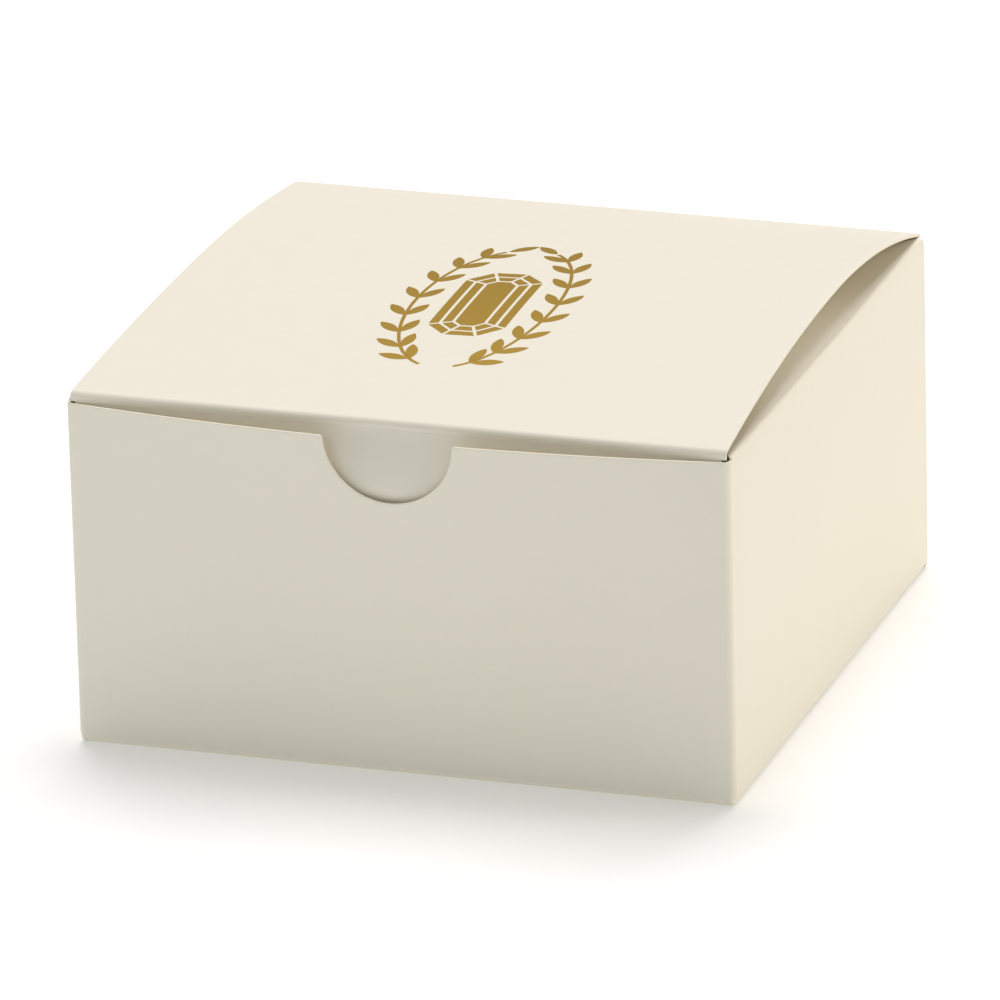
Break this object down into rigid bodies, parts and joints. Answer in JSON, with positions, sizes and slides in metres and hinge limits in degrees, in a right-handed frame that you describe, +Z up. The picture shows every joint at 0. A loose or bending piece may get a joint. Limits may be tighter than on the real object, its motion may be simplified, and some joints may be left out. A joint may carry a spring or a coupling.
{
  "type": "jewelry gift box",
  "caption": "Folding ivory board gift carton with a domed tuck-top lid, dust flaps, snap-lock bottom and a gold foil mark.",
  "frame": {"origin": "centre of the outer footprint, on the surface that the box stands on", "axes": "+Z up, front wall with the thumb notch faces -Y, lid hinges along the back at +Y, +X to the right seen from the front"},
  "size_m": [0.1024, 0.1024, 0.0612],
  "materials": {
    "ivory_board": "smooth coated ivory board, satin, warmer and fibrous on its inner side",
    "glue": "dry cold glue film",
    "gold_foil": "satin hot-stamped gold foil"
  },
  "bodies": {
    "carton": {"front_wall": "ivory_board", "back_wall": "ivory_board", "left_wall": "ivory_board", "right_wall": "ivory_board", "front_left_crease": "ivory_board", "front_right_crease": "ivory_board", "back_right_crease": "ivory_board", "seam_crease": "ivory_board", "glue_tab": "ivory_board", "seam_glue": "glue", "front_bottom_flap": "ivory_board", "back_bottom_flap": "ivory_board", "left_bottom_flap": "ivory_board", "right_bottom_flap": "ivory_board", "lock_tongue": "ivory_board", "front_bottom_crease": "ivory_board", "back_bottom_crease": "ivory_board", "left_bottom_crease": "ivory_board", "right_bottom_crease": "ivory_board", "lid_crease": "ivory_board", "left_flap_crease": "ivory_board", "right_flap_crease": "ivory_board"},
    "lid": {"lid_panel": "ivory_board", "tuck_crease": "ivory_board", "foil_wreath": "gold_foil", "foil_gem": "gold_foil"},
    "tuck_flap": {"tuck_flap": "ivory_board"},
    "left_dust_flap": {"left_dust_flap": "ivory_board"},
    "right_dust_flap": {"right_dust_flap": "ivory_board"}
  },
  "joints": [
    {"name": "lid_hinge", "type": "hinge", "parent": "carton", "child": "lid", "pos_m": [0, 0.0508, 0.054], "axis": [-1, 0, 0], "range_deg": [0, 135]},
    {"name": "tuck_hinge", "type": "hinge", "parent": "lid", "child": "tuck_flap", "pos_m": [0, -0.04985, 0.0547], "axis": [-1, 0, 0], "range_deg": [0, 34]},
    {"name": "left_flap_hinge", "type": "hinge", "parent": "carton", "child": "left_dust_flap", "pos_m": [-0.0508, 0, 0.054], "axis": [0, -1, 0], "range_deg": [0, 61]},
    {"name": "right_flap_hinge", "type": "hinge", "parent": "carton", "child": "right_dust_flap", "pos_m": [0.0508, 0, 0.054], "axis": [0, 1, 0], "range_deg": [0, 61]}
  ],
  "couplings": [
    {"joint": "tuck_hinge", "follows": "lid_hinge", "ratio": 0.25},
    {"joint": "left_flap_hinge", "follows": "lid_hinge", "ratio": 0.45},
    {"joint": "right_flap_hinge", "follows": "lid_hinge", "ratio": 0.45}
  ]
}
